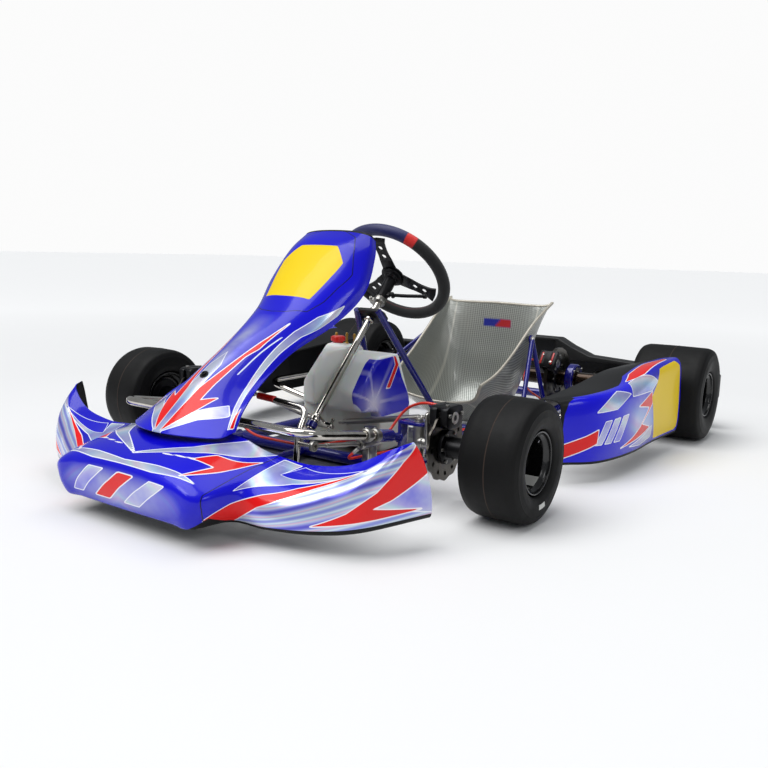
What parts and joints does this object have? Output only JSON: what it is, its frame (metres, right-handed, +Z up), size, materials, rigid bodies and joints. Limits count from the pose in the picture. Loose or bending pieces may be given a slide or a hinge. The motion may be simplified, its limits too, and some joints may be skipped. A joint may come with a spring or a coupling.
{
  "type": "racing kart chassis",
  "caption": "Rolling racing kart chassis: tube frame, bodywork, bucket seat, steering, live rear axle, pedals, brakes on the front wheels and rear axle, fuel tank, no engine.",
  "frame": {"origin": "middle of the footprint, on the ground under the tyres", "axes": "+X to the driver's left, +Y to the rear of the kart, +Z up; the nose faces -Y"},
  "size_m": [1.39, 1.8464, 0.6104],
  "materials": {
    "frame_paint": "glossy deep blue paint",
    "bodywork": "glossy printed film in blue, red, silver foil and yellow on moulded plastic",
    "bumper_plastic": "black moulded plastic with a fine grain",
    "chrome_tube": "bright chromed tube",
    "bright_steel": "zinc-plated and machined steel",
    "brake_disc": "ground braking faces on dark iron",
    "tray_sheet": "brushed aluminium sheet",
    "seat_shell": "silver-grey woven fibreglass in clear resin",
    "tank_plastic": "milky translucent polyethylene",
    "cap_plastic": "red moulded plastic",
    "black_alloy": "black anodised aluminium",
    "wheel_rim": "satin black coated aluminium",
    "tyre_rubber": "slick tread and satin sidewalls",
    "axle_steel": "dark oiled steel tube",
    "grip_suede": "black suede with a navy and red top section",
    "hose": "red sleeved brake hose"
  },
  "bodies": {
    "chassis": {"main_frame": "frame_paint", "front_spoiler": "bodywork", "front_panel": "bodywork", "side_pod_left": "bodywork", "side_pod_right": "bodywork", "seat": "seat_shell", "rear_bumper": "bumper_plastic", "rear_bumper_bracket_left": "bright_steel", "rear_bumper_bracket_right": "bright_steel", "front_bumper_upper": "chrome_tube", "front_bumper_lower": "chrome_tube", "side_bumper_left": "chrome_tube", "side_bumper_right": "chrome_tube", "floor_tray": "tray_sheet", "seat_stay_left": "frame_paint", "seat_stay_right": "frame_paint", "panel_bracket": "bright_steel", "fuel_tank": "tank_plastic", "kingpin_left": "bright_steel", "kingpin_right": "bright_steel", "bearing_hanger_left": "frame_paint", "bearing_hanger_right": "frame_paint", "master_cylinder": "black_alloy", "rear_caliper": "black_alloy", "brake_hose_front_left": "hose", "brake_hose_front_right": "hose", "brake_hose_rear": "hose"},
    "cap": {"fuel_cap": "cap_plastic"},
    "steering": {"steering_column": "chrome_tube", "steering_hub": "black_alloy", "steering_spokes": "black_alloy", "steering_rim": "grip_suede"},
    "clutch": {"clutch_lever": "black_alloy"},
    "spindle_left": {"spindle_left": "bright_steel", "front_caliper_left": "black_alloy"},
    "spindle_right": {"spindle_right": "bright_steel", "front_caliper_right": "black_alloy"},
    "rod_left": {"track_rod_left": "bright_steel"},
    "rod_right": {"track_rod_right": "bright_steel"},
    "wheel_left": {"front_hub_left": "black_alloy", "front_disc_left": "brake_disc", "front_rim_left": "wheel_rim", "front_tyre_left": "tyre_rubber"},
    "wheel_right": {"front_hub_right": "black_alloy", "front_disc_right": "brake_disc", "front_rim_right": "wheel_rim", "front_tyre_right": "tyre_rubber"},
    "axle": {"rear_axle": "axle_steel", "rear_hub_left": "black_alloy", "rear_hub_right": "black_alloy", "rear_rim_left": "wheel_rim", "rear_rim_right": "wheel_rim", "rear_tyre_left": "tyre_rubber", "rear_tyre_right": "tyre_rubber", "rear_disc": "brake_disc", "disc_carrier": "black_alloy"},
    "brake": {"brake_pedal": "chrome_tube"},
    "throttle": {"throttle_pedal": "chrome_tube"},
    "pull_rod": {"brake_pull_rod": "bright_steel"}
  },
  "joints": [
    {"name": "steering_turn", "type": "hinge", "parent": "chassis", "child": "steering", "pos_m": [0, -0.01, 0.481], "axis": [0, 0.6845, 0.729], "range_deg": [-45, 45]},
    {"name": "spindle_left_turn", "type": "hinge", "parent": "chassis", "child": "spindle_left", "pos_m": [0.325, -0.377, 0.128], "axis": [0, 0, 1], "range_deg": [-18.5, 18.5], "deforming": ["brake_hose_front_left"]},
    {"name": "track_rod_left_swing", "type": "hinge", "parent": "spindle_left", "child": "rod_left", "pos_m": [0.311, -0.287, 0.168], "axis": [0, 0, 1], "range_deg": [-18.5, 18.5]},
    {"name": "front_wheel_left_spin", "type": "hinge", "parent": "spindle_left", "child": "wheel_left", "pos_m": [0.552, -0.377, 0.128], "axis": [1, 0, 0], "continuous": true},
    {"name": "spindle_right_turn", "type": "hinge", "parent": "chassis", "child": "spindle_right", "pos_m": [-0.325, -0.377, 0.128], "axis": [0, 0, 1], "range_deg": [-18.5, 18.5], "deforming": ["brake_hose_front_right"]},
    {"name": "track_rod_right_swing", "type": "hinge", "parent": "spindle_right", "child": "rod_right", "pos_m": [-0.311, -0.287, 0.168], "axis": [0, 0, 1], "range_deg": [-18.5, 18.5]},
    {"name": "front_wheel_right_spin", "type": "hinge", "parent": "spindle_right", "child": "wheel_right", "pos_m": [-0.552, -0.377, 0.128], "axis": [1, 0, 0], "continuous": true},
    {"name": "rear_axle_spin", "type": "hinge", "parent": "chassis", "child": "axle", "pos_m": [0, 0.671, 0.1395], "axis": [1, 0, 0], "continuous": true},
    {"name": "brake_pedal_press", "type": "hinge", "parent": "chassis", "child": "brake", "pos_m": [0.2, -0.639, 0.092], "axis": [1, 0, 0], "range_deg": [0, 14], "stiffness_Nm_per_rad": 8, "springref_deg": -2.86},
    {"name": "throttle_pedal_press", "type": "hinge", "parent": "chassis", "child": "throttle", "pos_m": [-0.2, -0.639, 0.092], "axis": [1, 0, 0], "range_deg": [0, 20], "stiffness_Nm_per_rad": 4, "springref_deg": -2.86},
    {"name": "brake_rod_pull", "type": "slide", "parent": "chassis", "child": "pull_rod", "axis": [0, -1, 0], "range_m": [0, 0.0145]},
    {"name": "clutch_lever_pull", "type": "hinge", "parent": "steering", "child": "clutch", "pos_m": [0.031, -0.0634, 0.42414], "axis": [0, -0.729, 0.6845], "range_deg": [0, 12], "stiffness_Nm_per_rad": 1, "springref_deg": -2.86},
    {"name": "fuel_cap_lift", "type": "slide", "parent": "chassis", "child": "cap", "axis": [0, 0, 1], "range_m": [0, 0.03]}
  ],
  "couplings": [
    {"joint": "spindle_left_turn", "follows": "steering_turn", "ratio": 0.4},
    {"joint": "spindle_right_turn", "follows": "steering_turn", "ratio": 0.4},
    {"joint": "track_rod_left_swing", "follows": "steering_turn", "ratio": -0.4},
    {"joint": "track_rod_right_swing", "follows": "steering_turn", "ratio": -0.4},
    {"joint": "brake_rod_pull", "follows": "brake_pedal_press", "m_per_rad": 0.058}
  ]
}
